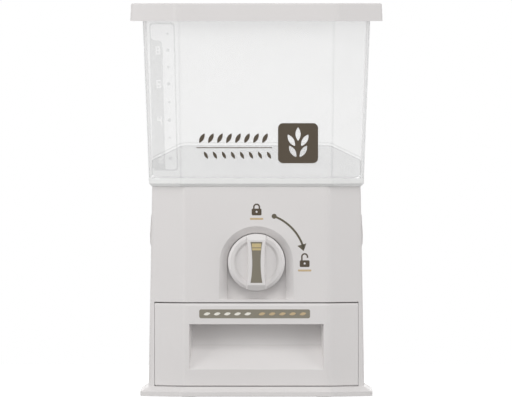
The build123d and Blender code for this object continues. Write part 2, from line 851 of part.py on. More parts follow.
with BuildPart() as drive_shaft:
    axial_square(shaft_side, shaft_front_y, shaft_rear_y)
    axial_cylinder(journal_radius, knob_back_y, drum_front_y - fit_gap)
    axial_cylinder(
        screw_shank_radius + thread_gap,
        shaft_front_y - overrun,
        screw_seat_y + screw_length + fit_gap,
        Mode.SUBTRACT,
    )

finish(drive_shaft, "drive_shaft")


# Hopper: clear tub whose floor is the meeting of four slopes round a throat over the drum
def below_slopes(thickness):
    """All that lies under the floor's slopes, each lowered square to itself by the thickness."""
    low_z = throat_z - 2 * overrun
    reach = hopper_top_depth
    side_run = inner_edge[0] / 2 - throat_half
    side_share = (floor_edge_z - throat_mouth_z) / side_run
    corner_share = tan(radians(floor_corner_deg))
    corner_edge = (inner_edge[0] / 2 + inner_edge[1] / 2 - inner_edge[2]) / sqrt(2)
    corner_start = corner_edge - (floor_edge_z - throat_mouth_z) / corner_share
    right_corner = Plane(origin=(0, 0, 0), x_dir=(1, -1, 0), z_dir=(-1, -1, 0))
    left_corner = Plane(origin=(0, 0, 0), x_dir=(-1, -1, 0), z_dir=(-1, 1, 0))
    runs = (
        (Plane.YZ, throat_rear_y, reach, tan(radians(floor_back_deg))),
        (Plane.YZ, throat_front_y, -reach, tan(radians(floor_front_deg))),
        (Plane.XZ, throat_half, reach, side_share),
        (Plane.XZ, -throat_half, -reach, side_share),
        (right_corner, corner_start, reach, corner_share),
        (left_corner, corner_start, reach, corner_share),
    )
    with BuildPart() as under:
        for plane, start, run, rise_share in runs:
            drop = thickness * sqrt(1 + rise_share**2)
            with BuildSketch(plane):
                with BuildLine():
                    Polyline(
                        (start, throat_mouth_z - drop),
                        (start + run, throat_mouth_z - drop + abs(run) * rise_share),
                        (start + run, low_z - drop),
                        (start, low_z - drop),
                        close=True,
                    )
                make_face()
            extrude(amount=reach, both=True)
    return under.part


def hopper_floor():
    """Floor of even thickness, and the short throat under it."""
    with BuildPart() as floor:
        add(hopper_block(throat_z, floor_back_z + floor_back_rise, hopper_wall))
        add(below_slopes(0), mode=Mode.INTERSECT)
        add(below_slopes(floor_thickness), mode=Mode.SUBTRACT)
        box_between(
            (-throat_half - floor_thickness, throat_front_y - floor_thickness, throat_z),
            (throat_half + floor_thickness, throat_rear_y + floor_thickness, throat_mouth_z),
        )
        box_between(
            (-throat_half, throat_front_y, throat_z - overrun),
            (throat_half, throat_rear_y, throat_mouth_z + overrun),
            Mode.SUBTRACT,
        )
    return floor.part


with BuildPart() as hopper:
    foot_z = base_top_z + hopper_foot_height
    foot_size = inset(hopper_size(base_top_z), hopper_foot_bevel)
    add(tapered_block(base_top_z, foot_size, foot_z, hopper_size(foot_z)))
    add(hopper_block(foot_z, hopper_rim_z, 0))
    add(hopper_block(base_top_z - overrun, hopper_rim_z, hopper_foot_width), mode=Mode.SUBTRACT)
    add(hopper_block(foot_z, hopper_rim_z + overrun, hopper_wall), mode=Mode.SUBTRACT)
    rim_low_z = hopper_rim_z - hopper_rim_thickness
    add(hopper_block(rim_low_z, hopper_rim_z, -hopper_rim_width))
    add(hopper_block(rim_low_z - overrun, hopper_rim_z + overrun, hopper_wall), mode=Mode.SUBTRACT)
    add(hopper_floor())

finish(hopper, "hopper")


# Lid: skirted cap with a shallow panel on top and a rib that locates it in the hopper
mouth_size = hopper_size(hopper_rim_z)


def lid_locating_rib():
    """Ring under the lid that drops into the hopper's mouth, narrower at its tip."""
    root = inset(mouth_size, hopper_wall + lid_rib_gap)
    tip = inset(root, lid_rib_gap)
    tip_z = lid_under_z - lid_rib_height
    with BuildPart() as rib:
        add(tapered_block(tip_z, tip, lid_under_z, root))
        add(
            tapered_block(tip_z - overrun, inset(tip, lid_rib), lid_under_z + overrun, inset(root, lid_rib)),
            mode=Mode.SUBTRACT,
        )
        box_between(
            (-lid_bottom_width, -lid_bottom_depth, tip_z),
            (lid_bottom_width, lid_bottom_depth, lid_under_z),
            Mode.INTERSECT,
        )
    return rib.part


with BuildPart() as lid:
    add(tapered_block(lid_bottom_z, lid_low, lid_top_z, inset(lid_low, lid_flare)))
    fillet(lid.faces().sort_by(Axis.Z)[-1].edges(), radius=lid_edge_rounding)
    hollow_low = inset(lid_low, lid_wall)
    hollow_high = inset(lid_low, lid_wall + lid_flare)
    add(tapered_block(lid_bottom_z - overrun, hollow_low, lid_under_z, hollow_high), mode=Mode.SUBTRACT)
    panel_low = inset(lid_low, lid_panel_inset)
    panel_high = inset(panel_low, -lid_panel_depth - overrun)
    panel_z = lid_top_z - lid_panel_depth
    add(tapered_block(panel_z, panel_low, lid_top_z + overrun, panel_high), mode=Mode.SUBTRACT)
    add(lid_locating_rib())

finish(lid, "lid")

with BuildPart() as lid_seal:
    seal_size = inset(mouth_size, -lid_seal_width + hopper_wall)
    with BuildSketch(Plane.XY.offset(lid_under_z)):
        add(bevelled_outline(seal_size))
        add(bevelled_outline(inset(seal_size, lid_seal_width)), mode=Mode.SUBTRACT)
    extrude(amount=-lid_seal_thickness)

finish(lid_seal, "lid_seal")


# Drawer front: follows the base's bevelled front, with a finger recess backed by a tub
drawer_boss_x = recess_width / 2 + wall + drawer_boss_reach
drawer_boss_span = drawer_height * drawer_boss_span_share
drawer_boss_places = [
    (x, (drawer_low_z + drawer_high_z) / 2 + z)
    for x in (-drawer_boss_x, drawer_boss_x)
    for z in (-drawer_boss_span / 2, drawer_boss_span / 2)
]


def finger_recess(margin):
    """Recess with an undercut top, a flat back and a ramp out to the face; grown by the margin."""
    back_y = front_y(recess_crease_z) + recess_depth
    ramp_share = (recess_crease_z - recess_bottom_z) / (back_y - front_y(recess_bottom_z))
    half = recess_width / 2 + margin
    mouth_y = front_y(recess_bottom_z) - overrun
    with BuildPart() as shape:
        with BuildSketch(Plane.YZ) as profile:
            with BuildLine():
                Polyline(
                    (mouth_y, recess_bottom_z - overrun * ramp_share),
                    (back_y, recess_crease_z),
                    (back_y, recess_top_z + recess_undercut),
                    (back_y - recess_depth / 2, recess_top_z + recess_undercut),
                    (front_y(recess_top_z) + recess_lip, recess_top_z),
                    (mouth_y, recess_top_z),
                    close=True,
                )
            make_face()
            if margin > 0:
                offset(amount=margin, kind=Kind.INTERSECTION, mode=Mode.REPLACE)
        extrude(amount=half, both=True)
        with BuildSketch(Plane.XY):
            with BuildLine():
                draft_share = recess_side_draft / recess_depth
                far_y = back_y + margin + overrun
                near_y = mouth_y - margin - overrun
                far_half = half - (far_y - front_y(recess_crease_z)) * draft_share
                near_half = half + (front_y(recess_crease_z) - near_y) * draft_share
                Polyline(
                    (-near_half, near_y),
                    (near_half, near_y),
                    (far_half, far_y),
                    (-far_half, far_y),
                    close=True,
                )
            make_face()
        extrude(amount=drawer_opening_z, mode=Mode.INTERSECT)
    return shape.part


def space_behind_front():
    """Room for the tray between the wrapped corners of the drawer front."""
    with BuildPart() as space:
        add(base_block(drawer_low_z - overrun, drawer_high_z + overrun, wall))
        box_between(
            (-drawer_width, tray_front_y, 0),
            (drawer_width, plinth_depth, base_top_z),
            Mode.INTERSECT,
        )
    return space.part


def front_backing():
    """Tub round the finger recess and the screw bosses, kept inside the base's outer form."""
    with BuildPart() as backing:
        add(finger_recess(wall))
        for x, z in drawer_boss_places:
            with Locations((x, tray_front_y, z)):
                Cylinder(
                    drawer_boss_radius,
                    tray_front_y - front_y(z),
                    rotation=(90, 0, 0),
                    align=(Align.CENTER, Align.CENTER, Align.MIN),
                )
        add(base_block(drawer_low_z, drawer_high_z, 0), mode=Mode.INTERSECT)
    return backing.part


with BuildPart() as drawer_front:
    low_edge_z = drawer_low_z + drawer_low_edge_height
    top_edge_z = drawer_high_z - drawer_top_edge_height
    low_size = inset(base_size(drawer_low_z), drawer_edge)
    top_size = inset(base_size(drawer_high_z), drawer_edge)
    add(tapered_block(drawer_low_z, low_size, low_edge_z, base_size(low_edge_z)))
    add(base_block(low_edge_z, top_edge_z, 0))
    add(tapered_block(top_edge_z, base_size(top_edge_z), drawer_high_z, top_size))
    front_low = (-drawer_width / 2, -plinth_depth / 2, drawer_low_z)
    box_between(front_low, (drawer_width / 2, 0, drawer_high_z), Mode.INTERSECT)
    add(base_block(drawer_low_z + wall, drawer_high_z - wall, wall), mode=Mode.SUBTRACT)
    add(space_behind_front(), mode=Mode.SUBTRACT)
    add(front_backing())
    add(finger_recess(0), mode=Mode.SUBTRACT)
    for x, z in drawer_boss_places:
        with Locations((x, tray_front_y + overrun, z)):
            Cylinder(
                screw_shank_radius + thread_gap,
                screw_length + overrun,
                rotation=(90, 0, 0),
                align=(Align.CENTER, Align.CENTER, Align.MIN),
                mode=Mode.SUBTRACT,
            )

finish(drawer_front, "drawer_front")

# Drawer tray: open box with rounded inside edges, screwed to the back of the front
tray_size = (tray_width, tray_length, tray_bevel)
tray_middle = (0, (tray_front_y + tray_rear_y) / 2)
with BuildPart() as tray_inside:
    with BuildSketch(Plane.XY.offset(tray_low_z + tray_wall)) as inside_outline:
        with Locations(tray_middle):
            add(bevelled_outline(inset(tray_size, tray_wall)))
    extrude(amount=tray_height + overrun)
    fillet(tray_inside.faces().sort_by(Axis.Z)[0].edges(), radius=tray_floor_rounding)

with BuildPart() as drawer_tray:
    with BuildSketch(Plane.XY.offset(tray_low_z)):
        with Locations(tray_middle):
            add(bevelled_outline(tray_size))
    extrude(amount=tray_height)
    add(tray_inside.part, mode=Mode.SUBTRACT)
    for x, z in drawer_boss_places:
        with Locations((x, tray_front_y, z)):
            Cylinder(
                screw_shank_radius + fit_gap,
                2 * (tray_wall + overrun),
                rotation=(90, 0, 0),
                mode=Mode.SUBTRACT,
            )

finish(drawer_tray, "drawer_tray")

with BuildPart() as drawer_screws:
    for x, z in drawer_boss_places:
        seat = Plane(origin=(x, tray_front_y + tray_wall, z), x_dir=(1, 0, 0), z_dir=(0, -1, 0))
        with Locations(seat):
            add(screw())

finish(drawer_screws, "drawer_screws")
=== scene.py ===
import math

import bpy
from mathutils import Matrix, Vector
from mathutils.geometry import tessellate_polygon


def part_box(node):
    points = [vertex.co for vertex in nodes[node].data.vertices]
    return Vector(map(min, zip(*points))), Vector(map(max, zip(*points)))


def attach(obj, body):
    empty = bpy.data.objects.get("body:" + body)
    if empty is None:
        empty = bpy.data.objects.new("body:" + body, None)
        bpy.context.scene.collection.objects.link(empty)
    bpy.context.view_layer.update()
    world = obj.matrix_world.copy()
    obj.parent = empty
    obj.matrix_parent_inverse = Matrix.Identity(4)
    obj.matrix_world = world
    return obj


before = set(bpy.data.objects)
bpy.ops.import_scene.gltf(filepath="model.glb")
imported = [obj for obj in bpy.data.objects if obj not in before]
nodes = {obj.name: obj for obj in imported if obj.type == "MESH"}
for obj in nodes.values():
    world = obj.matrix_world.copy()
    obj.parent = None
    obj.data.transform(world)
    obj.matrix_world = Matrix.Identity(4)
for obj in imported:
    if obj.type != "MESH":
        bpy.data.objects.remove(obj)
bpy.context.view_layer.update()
scene = bpy.context.scene
scene.view_settings.view_transform = "Standard"

# Sizes of the bin's outer faces, in millimetres, as in the solids. The hopper's are width, depth and bevel.
MM = 0.001
BASE_LOW_Z, BASE_TOP_Z = 10.7, 218.4
BASE_LOW_DEPTH, BASE_TOP_DEPTH = 292.8, 285.4
HOPPER_LOW_Z, HOPPER_RIM_Z = 218.4, 404.0
HOPPER_LOW = (223.1, 291.5, 32.7)
HOPPER_HIGH = (237.8, 306.2, 38.0)
KNOB_AXIS_Z = 139.9

# The photograph's frame: one pixel is this many millimetres, and these pixels are the bin's middle and floor
PHOTO_WIDTH, PHOTO_HEIGHT = 512, 400
PHOTO_SCALE = 1.04
PHOTO_MIDDLE_X, PHOTO_FLOOR_Y = 256.42, 396.5


def from_photo(px, py):
    """X and Z in millimetres of a pixel on the front of the bin."""
    return ((px - PHOTO_MIDDLE_X) * PHOTO_SCALE, (PHOTO_FLOOR_Y - py) * PHOTO_SCALE)


# ---- Materials

NOISE_ROUGHNESS = 0.55

# Moulded plastic
CLOUD_SCALE, CLOUD_PLAY = 9.0, 0.012
MOULD_GRAIN_HEIGHT, MOULD_ROUGHNESS_PLAY = 0.2 * MM, 0.05
SOFT_EDGE_SAMPLES = 6

# Clear plastic: absorption, flow pattern, painted shade on folds and edges, and the tilt at which a face
# counts as floor
ABSORPTION_COLOUR, ABSORPTION_DENSITY = (90, 92, 92), 1.0
FLOW_SCALE, FLOW_PLAY, FLOW_ROUGHNESS_PLAY = 14.0, 0.005, 0.2
FOLD_CORE, FOLD_REACH = 0.4 * MM, 1.3 * MM
EDGE_RADIUS, EDGE_SAMPLES = 1.6 * MM, 8
EDGE_TURN, EDGE_FLAT = 0.9, 0.995
RIM_POWER = 5.0
FLOOR_TILT_START, FLOOR_TILT_END = 0.25, 0.4

# Ink and metal: pattern scale, darkest and lightest share of the colour, and play of the roughness
INK_SCALE, INK_SHARES, INK_ROUGHNESS_PLAY, INK_GLOSS = 700.0, (0.96, 1.04), 0.06, 0.15
METAL_SCALE, METAL_SHARES, METAL_ROUGHNESS_PLAY = 2500.0, (0.94, 1.04), 0.08


def linear(*rgb):
    """Colour for a shader socket from 0 to 255 display values."""

    def one(c):
        c /= 255
        return c / 12.92 if c <= 0.04045 else ((c + 0.055) / 1.055) ** 2.4

    return (*[one(c) for c in rgb], 1.0)


def shaded(colour, share):
    """Darker or lighter colour."""
    return (*[min(1.0, c * share) for c in colour[:3]], 1.0)


def cleared(owner, output_type):
    """Node tree of a material or a world, with its output node alone."""
    owner.use_nodes = True
    tree = owner.node_tree
    tree.nodes.clear()
    return tree, tree.nodes.new(output_type)


def new_material(name):
    """Material with a plain shader, its node tree, and the coordinates of the object."""
    mat = bpy.data.materials.new(name)
    tree, out = cleared(mat, "ShaderNodeOutputMaterial")
    shader = tree.nodes.new("ShaderNodeBsdfPrincipled")
    tree.links.new(shader.outputs[0], out.inputs["Surface"])
    coords = tree.nodes.new("ShaderNodeTexCoord").outputs["Object"]
    return mat, tree, shader, coords


def feed(tree, value, socket):
    """Links a node's output to a socket, or sets a number or colour on it."""
    if isinstance(value, bpy.types.NodeSocket):
        tree.links.new(value, socket)
    else:
        socket.default_value = value


def calc(tree, operation, *values):
    """Math node. A value is a number or another node's output."""
    node = tree.nodes.new("ShaderNodeMath")
    node.operation = operation
    for socket, value in zip(node.inputs, values):
        feed(tree, value, socket)
    return node.outputs[0]


def split(tree, vector):
    """The three parts of a vector."""
    node = tree.nodes.new("ShaderNodeSeparateXYZ")
    tree.links.new(vector, node.inputs[0])
    return node.outputs


def noise(tree, coords, scale, detail=3.0):
    """Cloudy pattern, which lies mostly between 0.3 and 0.7."""
    node = tree.nodes.new("ShaderNodeTexNoise")
    node.inputs["Scale"].default_value = scale
    node.inputs["Detail"].default_value = detail
    node.inputs["Roughness"].default_value = NOISE_ROUGHNESS
    tree.links.new(coords, node.inputs["Vector"])
    return node.outputs["Fac"]


def remap(tree, value, low, high, start=0.3, end=0.7):
    """Goes from low to high while the value goes from start to end."""
    node = tree.nodes.new("ShaderNodeMapRange")
    node.inputs["From Min"].default_value = start
    node.inputs["From Max"].default_value = end
    node.inputs["To Min"].default_value = low
    node.inputs["To Max"].default_value = high
    tree.links.new(value, node.inputs["Value"])
    return node.outputs["Result"]


def mixed(tree, factor, first, second):
    """Colour between two, each a colour or another node's output."""
    node = tree.nodes.new("ShaderNodeMix")
    node.data_type = "RGBA"
    feed(tree, first, node.inputs["A"])
    feed(tree, second, node.inputs["B"])
    tree.links.new(factor, node.inputs["Factor"])
    return node.outputs["Result"]


def toned(tree, pattern, colour, low, high):
    """Colour that goes from a low to a high share of itself with a pattern."""
    return mixed(tree, remap(tree, pattern, 0.0, 1.0), shaded(colour, low), shaded(colour, high))


def moulded(name, colour, roughness, grain_scale=1400.0, bump=0.05, edge=0.4 * MM, gloss=0.5):
    """Moulded plastic: faint cloudy colour, a fine spark-eroded grain and softened edges."""
    mat, tree, shader, coords = new_material(name)
    cloud = noise(tree, coords, CLOUD_SCALE)
    fine = noise(tree, coords, grain_scale, detail=2.0)
    tree.links.new(toned(tree, cloud, colour, 1 - CLOUD_PLAY, 1 + CLOUD_PLAY), shader.inputs["Base Color"])
    smooth, rough = roughness - MOULD_ROUGHNESS_PLAY, roughness + MOULD_ROUGHNESS_PLAY
    tree.links.new(remap(tree, fine, smooth, rough), shader.inputs["Roughness"])
    relief = tree.nodes.new("ShaderNodeBump")
    relief.inputs["Strength"].default_value = bump
    relief.inputs["Distance"].default_value = MOULD_GRAIN_HEIGHT
    tree.links.new(fine, relief.inputs["Height"])
    if edge:
        soft = tree.nodes.new("ShaderNodeBevel")
        soft.samples = SOFT_EDGE_SAMPLES
        soft.inputs["Radius"].default_value = edge
        tree.links.new(soft.outputs["Normal"], relief.inputs["Normal"])
    tree.links.new(relief.outputs["Normal"], shader.inputs["Normal"])
    shader.inputs["Specular IOR Level"].default_value = gloss
    return mat


def fold_shade_mask(tree, coords):
    """One on the hopper's upright front and rear folds, where shade is painted into the clear plastic's
    colour.
    """
    place = split(tree, coords)
    fold_low = HOPPER_LOW[0] / 2 - HOPPER_LOW[2]
    fold_high = HOPPER_HIGH[0] / 2 - HOPPER_HIGH[2]
    lean = (fold_high - fold_low) / (HOPPER_RIM_Z - HOPPER_LOW_Z)
    fold_x = calc(tree, "MULTIPLY_ADD", place["Z"], lean, (fold_low - lean * HOPPER_LOW_Z) * MM)
    beyond = calc(tree, "SUBTRACT", calc(tree, "ABSOLUTE", place["X"]), fold_x)
    return remap(tree, calc(tree, "ABSOLUTE", beyond), 1.0, 0.0, FOLD_CORE, FOLD_REACH)


def sharp_edges(tree, normal):
    """One along the edges where two faces meet at an angle, where the clear plastic gets a thicker cover and
    painted shade as darker lines.
    """
    soft = tree.nodes.new("ShaderNodeBevel")
    soft.samples = EDGE_SAMPLES
    soft.inputs["Radius"].default_value = EDGE_RADIUS
    turn = tree.nodes.new("ShaderNodeVectorMath")
    turn.operation = "DOT_PRODUCT"
    tree.links.new(soft.outputs["Normal"], turn.inputs[0])
    tree.links.new(normal, turn.inputs[1])
    return remap(tree, calc(tree, "ABSOLUTE", turn.outputs["Value"]), 1.0, 0.0, EDGE_TURN, EDGE_FLAT)


def clear_plastic(name, colour, cover, rim_cover, floor_cover, edge_cover, painted_fold_shade, painted_edge_shade, roughness):
    """Milky clear plastic with a faint flow pattern, and painted shade on its folds and edges.

    The cover is its own on plain walls. The other covers are added to it where a face is seen edge on, on
    the floor and along sharp edges. The shares say how much of the colour is left on folds and sharp edges,
    where shade is painted in.
    """
    mat, tree, shader, coords = new_material(name)
    normal = tree.nodes.new("ShaderNodeNewGeometry").outputs["Normal"]
    edges = sharp_edges(tree, normal)
    flow = noise(tree, coords, FLOW_SCALE)
    paint = toned(tree, flow, colour, 1 - FLOW_PLAY, 1 + FLOW_PLAY)
    # Painted shade: the colour is darkened on the folds and along the sharp edges
    for mask, share in ((fold_shade_mask(tree, coords), painted_fold_shade), (edges, painted_edge_shade)):
        paint = mixed(tree, mask, paint, shaded(colour, share))
    tree.links.new(paint, shader.inputs["Base Color"])
    smooth, rough = roughness * (1 - FLOW_ROUGHNESS_PLAY), roughness * (1 + FLOW_ROUGHNESS_PLAY)
    tree.links.new(remap(tree, flow, smooth, rough), shader.inputs["Roughness"])

    facing = tree.nodes.new("ShaderNodeLayerWeight").outputs["Facing"]
    wall = calc(tree, "MULTIPLY_ADD", calc(tree, "POWER", facing, RIM_POWER), rim_cover, cover)
    tilt = calc(tree, "ABSOLUTE", split(tree, normal)["Z"])
    floor = remap(tree, tilt, 0.0, floor_cover, FLOOR_TILT_START, FLOOR_TILT_END)
    plain = calc(tree, "ADD", wall, floor)
    tree.links.new(calc(tree, "MULTIPLY_ADD", edges, edge_cover, plain), shader.inputs["Alpha"])

    depth = tree.nodes.new("ShaderNodeVolumeAbsorption")
    depth.inputs["Color"].default_value = linear(*ABSORPTION_COLOUR)
    depth.inputs["Density"].default_value = ABSORPTION_DENSITY
    out = next(node for node in tree.nodes if node.type == "OUTPUT_MATERIAL")
    tree.links.new(depth.outputs["Volume"], out.inputs["Volume"])
    return mat


def ink(name, colour, alpha=1.0, roughness=0.5):
    """Printed or etched mark, a little uneven in its cover."""
    mat, tree, shader, coords = new_material(name)
    uneven = noise(tree, coords, INK_SCALE)
    tree.links.new(toned(tree, uneven, colour, *INK_SHARES), shader.inputs["Base Color"])
    smooth, rough = roughness - INK_ROUGHNESS_PLAY, roughness + INK_ROUGHNESS_PLAY
    tree.links.new(remap(tree, uneven, smooth, rough), shader.inputs["Roughness"])
    shader.inputs["Specular IOR Level"].default_value = INK_GLOSS
    shader.inputs["Alpha"].default_value = alpha
    return mat


def metal(name, colour, roughness):
    """Plated steel with fine turning marks."""
    mat, tree, shader, coords = new_material(name)
    fine = noise(tree, coords, METAL_SCALE)
    tree.links.new(toned(tree, fine, colour, *METAL_SHARES), shader.inputs["Base Color"])
    smooth, rough = roughness - METAL_ROUGHNESS_PLAY, roughness + METAL_ROUGHNESS_PLAY
    tree.links.new(remap(tree, fine, smooth, rough), shader.inputs["Roughness"])
    shader.inputs["Metallic"].default_value = 1.0
    return mat


BODY_GREY = linear(218, 215, 214)

body_plastic = moulded("body_plastic", BODY_GREY, roughness=0.5, edge=0.2 * MM, gloss=0.3)
knob_plastic = moulded("knob_plastic", BODY_GREY, roughness=0.4)
inner_plastic = moulded("inner_plastic", linear(226, 224, 220), roughness=0.55, bump=0.08, edge=0.0)
bearing_plastic = moulded("bearing_plastic", linear(232, 228, 216), roughness=0.35, edge=0.0)
inlay_plastic = moulded("inlay_plastic", linear(121, 115, 101), roughness=0.4, bump=0.03)
silicone = moulded("silicone", linear(222, 220, 214), roughness=0.6, grain_scale=900.0, edge=0.0)
foot_rubber = moulded("foot_rubber", linear(92, 90, 88), roughness=0.8, grain_scale=700.0, bump=0.2, edge=0.0)
screw_steel = metal("screw_steel", linear(196, 194, 190), roughness=0.32)
# The hopper's folds and sharp edges get painted shade
hopper_plastic = clear_plastic(
    "clear_plastic",
    linear(250, 250, 250),
    cover=0.135,
    rim_cover=0.5,
    floor_cover=-0.015,
    edge_cover=0.3,
    painted_fold_shade=0.6,
    painted_edge_shade=0.3,
    roughness=0.3,
)
foot_plastic = clear_plastic(
    "foot_plastic",
    linear(250, 250, 249),
    cover=0.75,
    rim_cover=0.2,
    floor_cover=0.0,
    edge_cover=0.0,
    painted_fold_shade=0.95,
    painted_edge_shade=1.0,
    roughness=0.45,
)

dark_ink = ink("dark_ink", linear(88, 79, 68))
olive_ink = ink("olive_ink", linear(101, 95, 82))
tan_ink = ink("tan_ink", linear(196, 174, 140))
pale_ink = ink("pale_ink", linear(232, 229, 220))
strip_ink = ink("strip_ink", linear(137, 132, 119))
scale_ink = ink("scale_ink", linear(140, 140, 138), alpha=0.075)
gold_foil = ink("gold_foil", linear(197, 180, 137), roughness=0.35)

NODE_MATERIALS = (
    (body_plastic, ("lid", "base_shell", "base_plate", "left_grip", "right_grip", "drawer_front")),
    (hopper_plastic, ("hopper",)),
    (knob_plastic, ("knob",)),
    (inlay_plastic, ("knob_inlay",)),
    (inner_plastic, ("metering_drum", "drum_end_cap", "drum_housing", "end_cover", "drawer_tray")),
    (bearing_plastic, ("front_bush", "rear_bush", "drive_shaft")),
    (silicone, ("inlet_seal", "lid_seal")),
    (foot_rubber, ("rubber_feet",)),
    (screw_steel, ("base_screws", "housing_screws", "end_cover_screws", "drawer_screws", "knob_screw")),
)
for mat, node_names in NODE_MATERIALS:
    for node_name in node_names:
        material_slots = nodes[node_name].data.materials
        material_slots.clear()
        material_slots.append(mat)

# ---- Places on the bin's faces: X and Z in millimetres, and how far the point stands out


def base_front(x, z, lift):
    """Point on the drafted front of the base or the drawer."""
    share = (z - BASE_LOW_Z) / (BASE_TOP_Z - BASE_LOW_Z)
    depth = BASE_LOW_DEPTH + (BASE_TOP_DEPTH - BASE_LOW_DEPTH) * share
    return Vector((x, -depth / 2 - lift, z)) * MM


def hopper_outline(z):
    """Width, depth and bevel of the hopper at a height."""
    share = (z - HOPPER_LOW_Z) / (HOPPER_RIM_Z - HOPPER_LOW_Z)
    return [low + (high - low) * share for low, high in zip(HOPPER_LOW, HOPPER_HIGH)]


def hopper_front(x, z, lift):
    """Point on the hopper's leaning front."""
    return Vector((x, -hopper_outline(z)[1] / 2 - lift, z)) * MM


def hopper_corner(x, z, lift):
    """Point on the hopper's left front corner face, which runs back at 45 degrees."""
    width, depth, bevel = hopper_outline(z)
    y = bevel - width / 2 - x - depth / 2
    out = lift / math.sqrt(2)
    return Vector((x - out, y - out, z)) * MM


inlay_front_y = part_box("knob_inlay")[0].y / MM


def inlay_front(x, z, lift):
    """Point on the front of the knob's inlay."""
    return Vector((x, inlay_front_y - lift, z)) * MM


# ---- Meshes and outlines


def mesh_object(name, points, faces, mat):
    """New object in the scene, from points in metres."""
    mesh = bpy.data.meshes.new(name)
    mesh.from_pydata(points, [], faces)
    mesh.validate()
    mesh.update()
    mesh.materials.append(mat)
    obj = bpy.data.objects.new(name, mesh)
    scene.collection.objects.link(obj)
    return obj


def thin_piece(name, shapes, place, mat, body, lift=0.08, sink=0.05):
    """Closed thin piece on a face. Each shape is an outline in millimetres, with any holes after it."""
    points, faces = [], []
    for loops in shapes:
        start = len(points)
        flat = [p for loop in loops for p in loop]
        points += flat
        loops_3d = [[Vector((x, z, 0)) for x, z in loop] for loop in loops]
        for a, b, c in tessellate_polygon(loops_3d):
            pa, pb, pc = (Vector(flat[i]) for i in (a, b, c))
            ab, ac = pb - pa, pc - pa
            turn = ab.x * ac.y - ab.y * ac.x
            face = (a, b, c) if turn > 0 else (a, c, b)
            faces.append(tuple(start + i for i in face))
    count = len(points)
    directed = {(f[i], f[(i + 1) % 3]) for f in faces for i in range(3)}
    sides = sorted((b, a, a + count, b + count) for a, b in directed if (b, a) not in directed)
    backs = [tuple(count + i for i in reversed(f)) for f in faces]
    fronts_and_backs = [place(x, z, out) for out in (lift, -sink) for x, z in points]
    obj = mesh_object(name, fronts_and_backs, faces + backs + sides, mat)
    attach(obj, body)


def arc_points(centre, radius, start, end, steps):
    """Points on an arc, in degrees clockwise from the top."""
    points = []
    for i in range(steps + 1):
        a = math.radians(start + (end - start) * i / steps)
        points.append((centre[0] + radius * math.sin(a), centre[1] + radius * math.cos(a)))
    return points


def disc(centre, radius, steps=28):
    """Outline of a round dot."""
    return arc_points(centre, radius, 360, 360 / steps, steps - 1)


def band(centre, radius, width, start, end, steps):
    """Outline of a part of a ring."""
    outer = arc_points(centre, radius + width / 2, start, end, steps)
    inner = arc_points(centre, radius - width / 2, end, start, steps)
    return outer + inner


def plain_box(low, high):
    """Outline with sharp corners."""
    (x0, z0), (x1, z1) = low, high
    return [(x0, z0), (x1, z0), (x1, z1), (x0, z1)]


def rounded_box(low, high, radius, steps=6):
    """Outline with rounded corners."""
    (x0, z0), (x1, z1) = low, high
    corners = (
        ((x1 - radius, z1 - radius), 90, 0),
        ((x0 + radius, z1 - radius), 0, -90),
        ((x0 + radius, z0 + radius), -90, -180),
        ((x1 - radius, z0 + radius), 180, 90),
    )
    return [p for centre, start, end in corners for p in arc_points(centre, radius, start, end, steps)]


def turned(x, y, angle):
    """Point turned anticlockwise about the origin, by an angle in radians."""
    return x * math.cos(angle) - y * math.sin(angle), x * math.sin(angle) + y * math.cos(angle)


def grain(centre, length, width, lean, steps=9):
    """Leaf-shaped grain of rice, leaning by so many degrees clockwise from upright."""
    fullness = 0.8
    outline = []
    for side in (1, -1):
        for i in range(steps):
            t = i / steps
            across = side * width / 2 * math.sin(math.pi * t) ** fullness
            along = side * length * (t - 0.5)
            x, z = turned(across, along, math.radians(-lean))
            outline.append((centre[0] + x, centre[1] + z))
    return outline


# ---- Quarter-turn arrow round the knob, with a closed and an open lock at its ends

KNOB_CENTRE = (0.0, KNOB_AXIS_Z)
ARROW_RADIUS, ARROW_WIDTH = 51.2, 2.1
DOT_ANGLE, DOT_RADIUS = 21.1, 2.6
ARROW_START, ARROW_END, ARROW_STEPS = 23.7, 74.0, 24
ARROW_HEAD_PX = ((303.6, 250.8), (306.3, 243.1), (297.3, 245.6))

LOCKS = (("closed_lock", (256.6, 208.4), False), ("open_lock", (304.6, 260.0), True))
LOCK_HALF_WIDTH, LOCK_HEIGHT, LOCK_CORNER = 5.1, 7.0, 1.2
KEYHOLE_DROP, KEYHOLE_RADIUS = 3.3, 1.1
SHACKLE_RADIUS, SHACKLE_WIDTH, SHACKLE_LEG = 2.9, 1.5, 1.2
SHACKLE_CLOSED_Z, SHACKLE_OPEN_Z = 0.4, 2.6
LOCK_STEPS = 14
BAR_HALF_WIDTH, BAR_LOW, BAR_HIGH, BAR_CORNER = 7.0, -11.6, -9.6, 0.95

dot = arc_points(KNOB_CENTRE, ARROW_RADIUS, DOT_ANGLE, DOT_ANGLE, 1)[0]
arrow_shapes = [
    [disc(dot, DOT_RADIUS)],
    [band(KNOB_CENTRE, ARROW_RADIUS, ARROW_WIDTH, ARROW_START, ARROW_END, ARROW_STEPS)],
    [[from_photo(*px) for px in ARROW_HEAD_PX]],
]
thin_piece("turn_arrow", arrow_shapes, base_front, olive_ink, "base")


